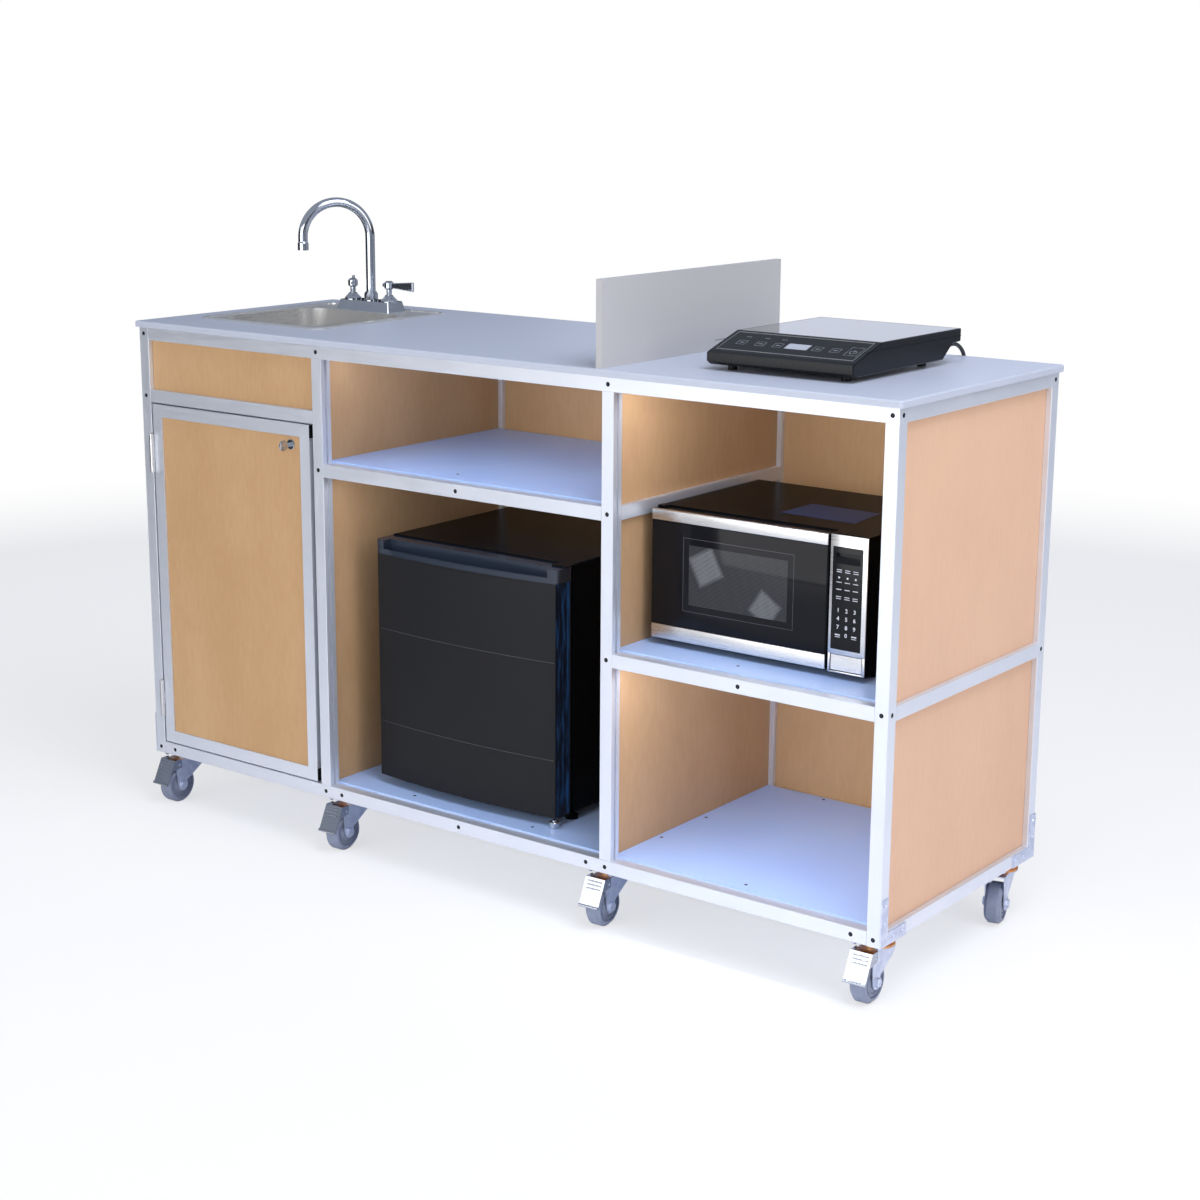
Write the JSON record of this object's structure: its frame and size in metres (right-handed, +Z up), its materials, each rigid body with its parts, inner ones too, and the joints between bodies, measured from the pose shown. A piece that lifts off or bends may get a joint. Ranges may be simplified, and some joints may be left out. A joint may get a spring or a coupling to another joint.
{
  "type": "portable kitchen",
  "caption": "Self-contained kitchen on casters: slotted frame with wood panels, sink and faucet, locking cabinet, fridge, microwave and induction cooktop under one worktop.",
  "frame": {"origin": "on the floor under the middle of the frame, where the eight wheels stand", "axes": "+Z up, +X to the user's right along the length, the open front faces -Y"},
  "size_m": [1.7328, 0.6932, 1.2309],
  "materials": {
    "aluminium_extrusion": "clear anodised",
    "zinc_steel": "zinc plated",
    "bright_chrome": "polished chrome",
    "grey_rubber": "grey elastomer tread",
    "maple": "satin veneer",
    "white_sheet": "glossy white sheet",
    "pale_laminate": "pale grey laminate",
    "stainless_steel": "satin stainless",
    "tank_plastic": "translucent polyethylene",
    "black_plastic": "satin black",
    "black_enamel": "gloss black",
    "oven_black": "gloss black with stainless trim",
    "clear_glass": "clear pressed glass",
    "glass_ceramic": "polished black glass ceramic",
    "cord_sheath": "matt black sheath"
  },
  "bodies": {
    "kitchen": {"frame_posts": "aluminium_extrusion", "frame_rails": "aluminium_extrusion", "corner_plates": "zinc_steel", "caster_plates": "zinc_steel", "side_panels": "maple", "partition_panels": "maple", "back_panels": "maple", "fascia_panel": "maple", "base_deck": "white_sheet", "upper_shelf": "white_sheet", "lower_shelf": "white_sheet", "worktop": "pale_laminate", "splash_divider": "pale_laminate", "hinge_frame_leaves": "stainless_steel", "sink_bowl": "stainless_steel", "sink_drain": "stainless_steel", "faucet_base": "bright_chrome", "waste_water_tank": "tank_plastic", "fresh_water_tank": "tank_plastic", "water_pump": "black_plastic", "fridge_cabinet": "black_enamel", "microwave_case": "oven_black", "cooktop_case": "black_plastic", "cooktop_glass": "glass_ceramic", "cooktop_cord": "cord_sheath", "cooktop_cord_coil": "cord_sheath", "cooktop_plug": "black_plastic"},
    "cabinet_door": {"door_frame": "aluminium_extrusion", "door_panel": "maple", "door_end_caps": "black_plastic", "hinge_door_leaves": "stainless_steel", "lock_barrel": "bright_chrome"},
    "lock_plug": {"lock_key": "bright_chrome"},
    "spout": {"faucet_spout": "bright_chrome"},
    "hot_lever": {"hot_handle": "bright_chrome"},
    "cold_lever": {"cold_handle": "bright_chrome"},
    "fridge_door": {"fridge_door": "black_enamel"},
    "microwave_door": {"microwave_door": "oven_black"},
    "microwave_button": {"microwave_button": "stainless_steel"},
    "turntable": {"microwave_turntable": "clear_glass"},
    "caster_1": {"caster_fork_1": "zinc_steel"},
    "wheel_1": {"caster_wheel_1": "grey_rubber"},
    "pedal_1": {"brake_pedal_1": "bright_chrome"},
    "caster_2": {"caster_fork_2": "zinc_steel"},
    "wheel_2": {"caster_wheel_2": "grey_rubber"},
    "pedal_2": {"brake_pedal_2": "bright_chrome"},
    "caster_3": {"caster_fork_3": "zinc_steel"},
    "wheel_3": {"caster_wheel_3": "grey_rubber"},
    "pedal_3": {"brake_pedal_3": "bright_chrome"},
    "caster_4": {"caster_fork_4": "zinc_steel"},
    "wheel_4": {"caster_wheel_4": "grey_rubber"},
    "pedal_4": {"brake_pedal_4": "bright_chrome"},
    "caster_5": {"caster_fork_5": "zinc_steel"},
    "wheel_5": {"caster_wheel_5": "grey_rubber"},
    "caster_6": {"caster_fork_6": "zinc_steel"},
    "wheel_6": {"caster_wheel_6": "grey_rubber"},
    "caster_7": {"caster_fork_7": "zinc_steel"},
    "wheel_7": {"caster_wheel_7": "grey_rubber"},
    "caster_8": {"caster_fork_8": "zinc_steel"},
    "wheel_8": {"caster_wheel_8": "grey_rubber"}
  },
  "joints": [
    {"name": "cabinet_door_hinge", "type": "hinge", "parent": "kitchen", "child": "cabinet_door", "pos_m": [-0.8325, -0.28, 0.4845], "axis": [0, 0, -1], "range_deg": [0, 105]},
    {"name": "lock_turn", "type": "hinge", "parent": "cabinet_door", "child": "lock_plug", "pos_m": [-0.44796, -0.2755, 0.793], "axis": [0, 1, 0], "range_deg": [0, 90]},
    {"name": "spout_swivel", "type": "hinge", "parent": "kitchen", "child": "spout", "pos_m": [-0.644, 0.1655, 1.0197], "axis": [0, 0, 1], "continuous": true},
    {"name": "hot_handle_turn", "type": "hinge", "parent": "kitchen", "child": "hot_lever", "pos_m": [-0.695, 0.1655, 1.0197], "axis": [0, 0, 1], "range_deg": [0, 90]},
    {"name": "cold_handle_turn", "type": "hinge", "parent": "kitchen", "child": "cold_lever", "pos_m": [-0.593, 0.1655, 1.0197], "axis": [0, 0, 1], "range_deg": [-90, 0]},
    {"name": "fridge_door_hinge", "type": "hinge", "parent": "kitchen", "child": "fridge_door", "pos_m": [0.12885, -0.1665, 0.149], "axis": [0, 0, 1], "range_deg": [0, 95]},
    {"name": "microwave_door_hinge", "type": "hinge", "parent": "kitchen", "child": "microwave_door", "pos_m": [0.33803, -0.1605, 0.5215], "axis": [0, 0, -1], "range_deg": [0, 90]},
    {"name": "microwave_button_press", "type": "slide", "parent": "kitchen", "child": "microwave_button", "axis": [0, 1, 0], "range_m": [0, 0.0037], "stiffness_N_per_m": 400},
    {"name": "turntable_spin", "type": "hinge", "parent": "kitchen", "child": "turntable", "pos_m": [0.50103, -0.0095, 0.5467], "axis": [0, 0, 1], "continuous": true},
    {"name": "caster_swivel_1", "type": "hinge", "parent": "kitchen", "child": "caster_1", "pos_m": [-0.8265, -0.2215, 0.103], "axis": [0, 0, 1], "continuous": true},
    {"name": "wheel_roll_1", "type": "hinge", "parent": "caster_1", "child": "wheel_1", "pos_m": [-0.8265, -0.2545, 0.0375], "axis": [1, 0, 0], "continuous": true},
    {"name": "brake_pedal_lift_1", "type": "hinge", "parent": "caster_1", "child": "pedal_1", "pos_m": [-0.8265, -0.2645, 0.0827], "axis": [-1, 0, 0], "range_deg": [0, 22]},
    {"name": "caster_swivel_2", "type": "hinge", "parent": "kitchen", "child": "caster_2", "pos_m": [-0.35396, -0.2215, 0.103], "axis": [0, 0, 1], "continuous": true},
    {"name": "wheel_roll_2", "type": "hinge", "parent": "caster_2", "child": "wheel_2", "pos_m": [-0.35281, -0.25448, 0.0375], "axis": [0.9994, 0.0349, 0], "continuous": true},
    {"name": "brake_pedal_lift_2", "type": "hinge", "parent": "caster_2", "child": "pedal_2", "pos_m": [-0.35246, -0.26447, 0.0827], "axis": [-0.9994, -0.0349, 0], "range_deg": [0, 22]},
    {"name": "caster_swivel_3", "type": "hinge", "parent": "kitchen", "child": "caster_3", "pos_m": [0.28292, -0.2215, 0.103], "axis": [0, 0, 1], "continuous": true},
    {"name": "wheel_roll_3", "type": "hinge", "parent": "caster_3", "child": "wheel_3", "pos_m": [0.28465, -0.25445, 0.0375], "axis": [0.9986, 0.0523, 0], "continuous": true},
    {"name": "brake_pedal_lift_3", "type": "hinge", "parent": "caster_3", "child": "pedal_3", "pos_m": [0.28517, -0.26444, 0.0827], "axis": [-0.9986, -0.0523, 0], "range_deg": [0, 22]},
    {"name": "caster_swivel_4", "type": "hinge", "parent": "kitchen", "child": "caster_4", "pos_m": [0.8265, -0.2215, 0.103], "axis": [0, 0, 1], "continuous": true},
    {"name": "wheel_roll_4", "type": "hinge", "parent": "caster_4", "child": "wheel_4", "pos_m": [0.82765, -0.25448, 0.0375], "axis": [0.9994, 0.0349, 0], "continuous": true},
    {"name": "brake_pedal_lift_4", "type": "hinge", "parent": "caster_4", "child": "pedal_4", "pos_m": [0.828, -0.26447, 0.0827], "axis": [-0.9994, -0.0349, 0], "range_deg": [0, 22]},
    {"name": "caster_swivel_5", "type": "hinge", "parent": "kitchen", "child": "caster_5", "pos_m": [-0.8265, 0.2215, 0.103], "axis": [0, 0, 1], "continuous": true},
    {"name": "wheel_roll_5", "type": "hinge", "parent": "caster_5", "child": "wheel_5", "pos_m": [-0.83166, 0.18891, 0.0375], "axis": [0.9877, -0.1564, 0], "continuous": true},
    {"name": "caster_swivel_6", "type": "hinge", "parent": "kitchen", "child": "caster_6", "pos_m": [-0.35396, 0.2215, 0.103], "axis": [0, 0, 1], "continuous": true},
    {"name": "wheel_roll_6", "type": "hinge", "parent": "caster_6", "child": "wheel_6", "pos_m": [-0.35051, 0.18868, 0.0375], "axis": [0.9945, 0.1045, 0], "continuous": true},
    {"name": "caster_swivel_7", "type": "hinge", "parent": "kitchen", "child": "caster_7", "pos_m": [0.28292, 0.2215, 0.103], "axis": [0, 0, 1], "continuous": true},
    {"name": "wheel_roll_7", "type": "hinge", "parent": "caster_7", "child": "wheel_7", "pos_m": [0.28062, 0.18858, 0.0375], "axis": [0.9976, -0.0698, 0], "continuous": true},
    {"name": "caster_swivel_8", "type": "hinge", "parent": "kitchen", "child": "caster_8", "pos_m": [0.8265, 0.2215, 0.103], "axis": [0, 0, 1], "continuous": true},
    {"name": "wheel_roll_8", "type": "hinge", "parent": "caster_8", "child": "wheel_8", "pos_m": [0.83448, 0.18948, 0.0375], "axis": [0.9703, 0.2419, 0], "continuous": true}
  ]
}
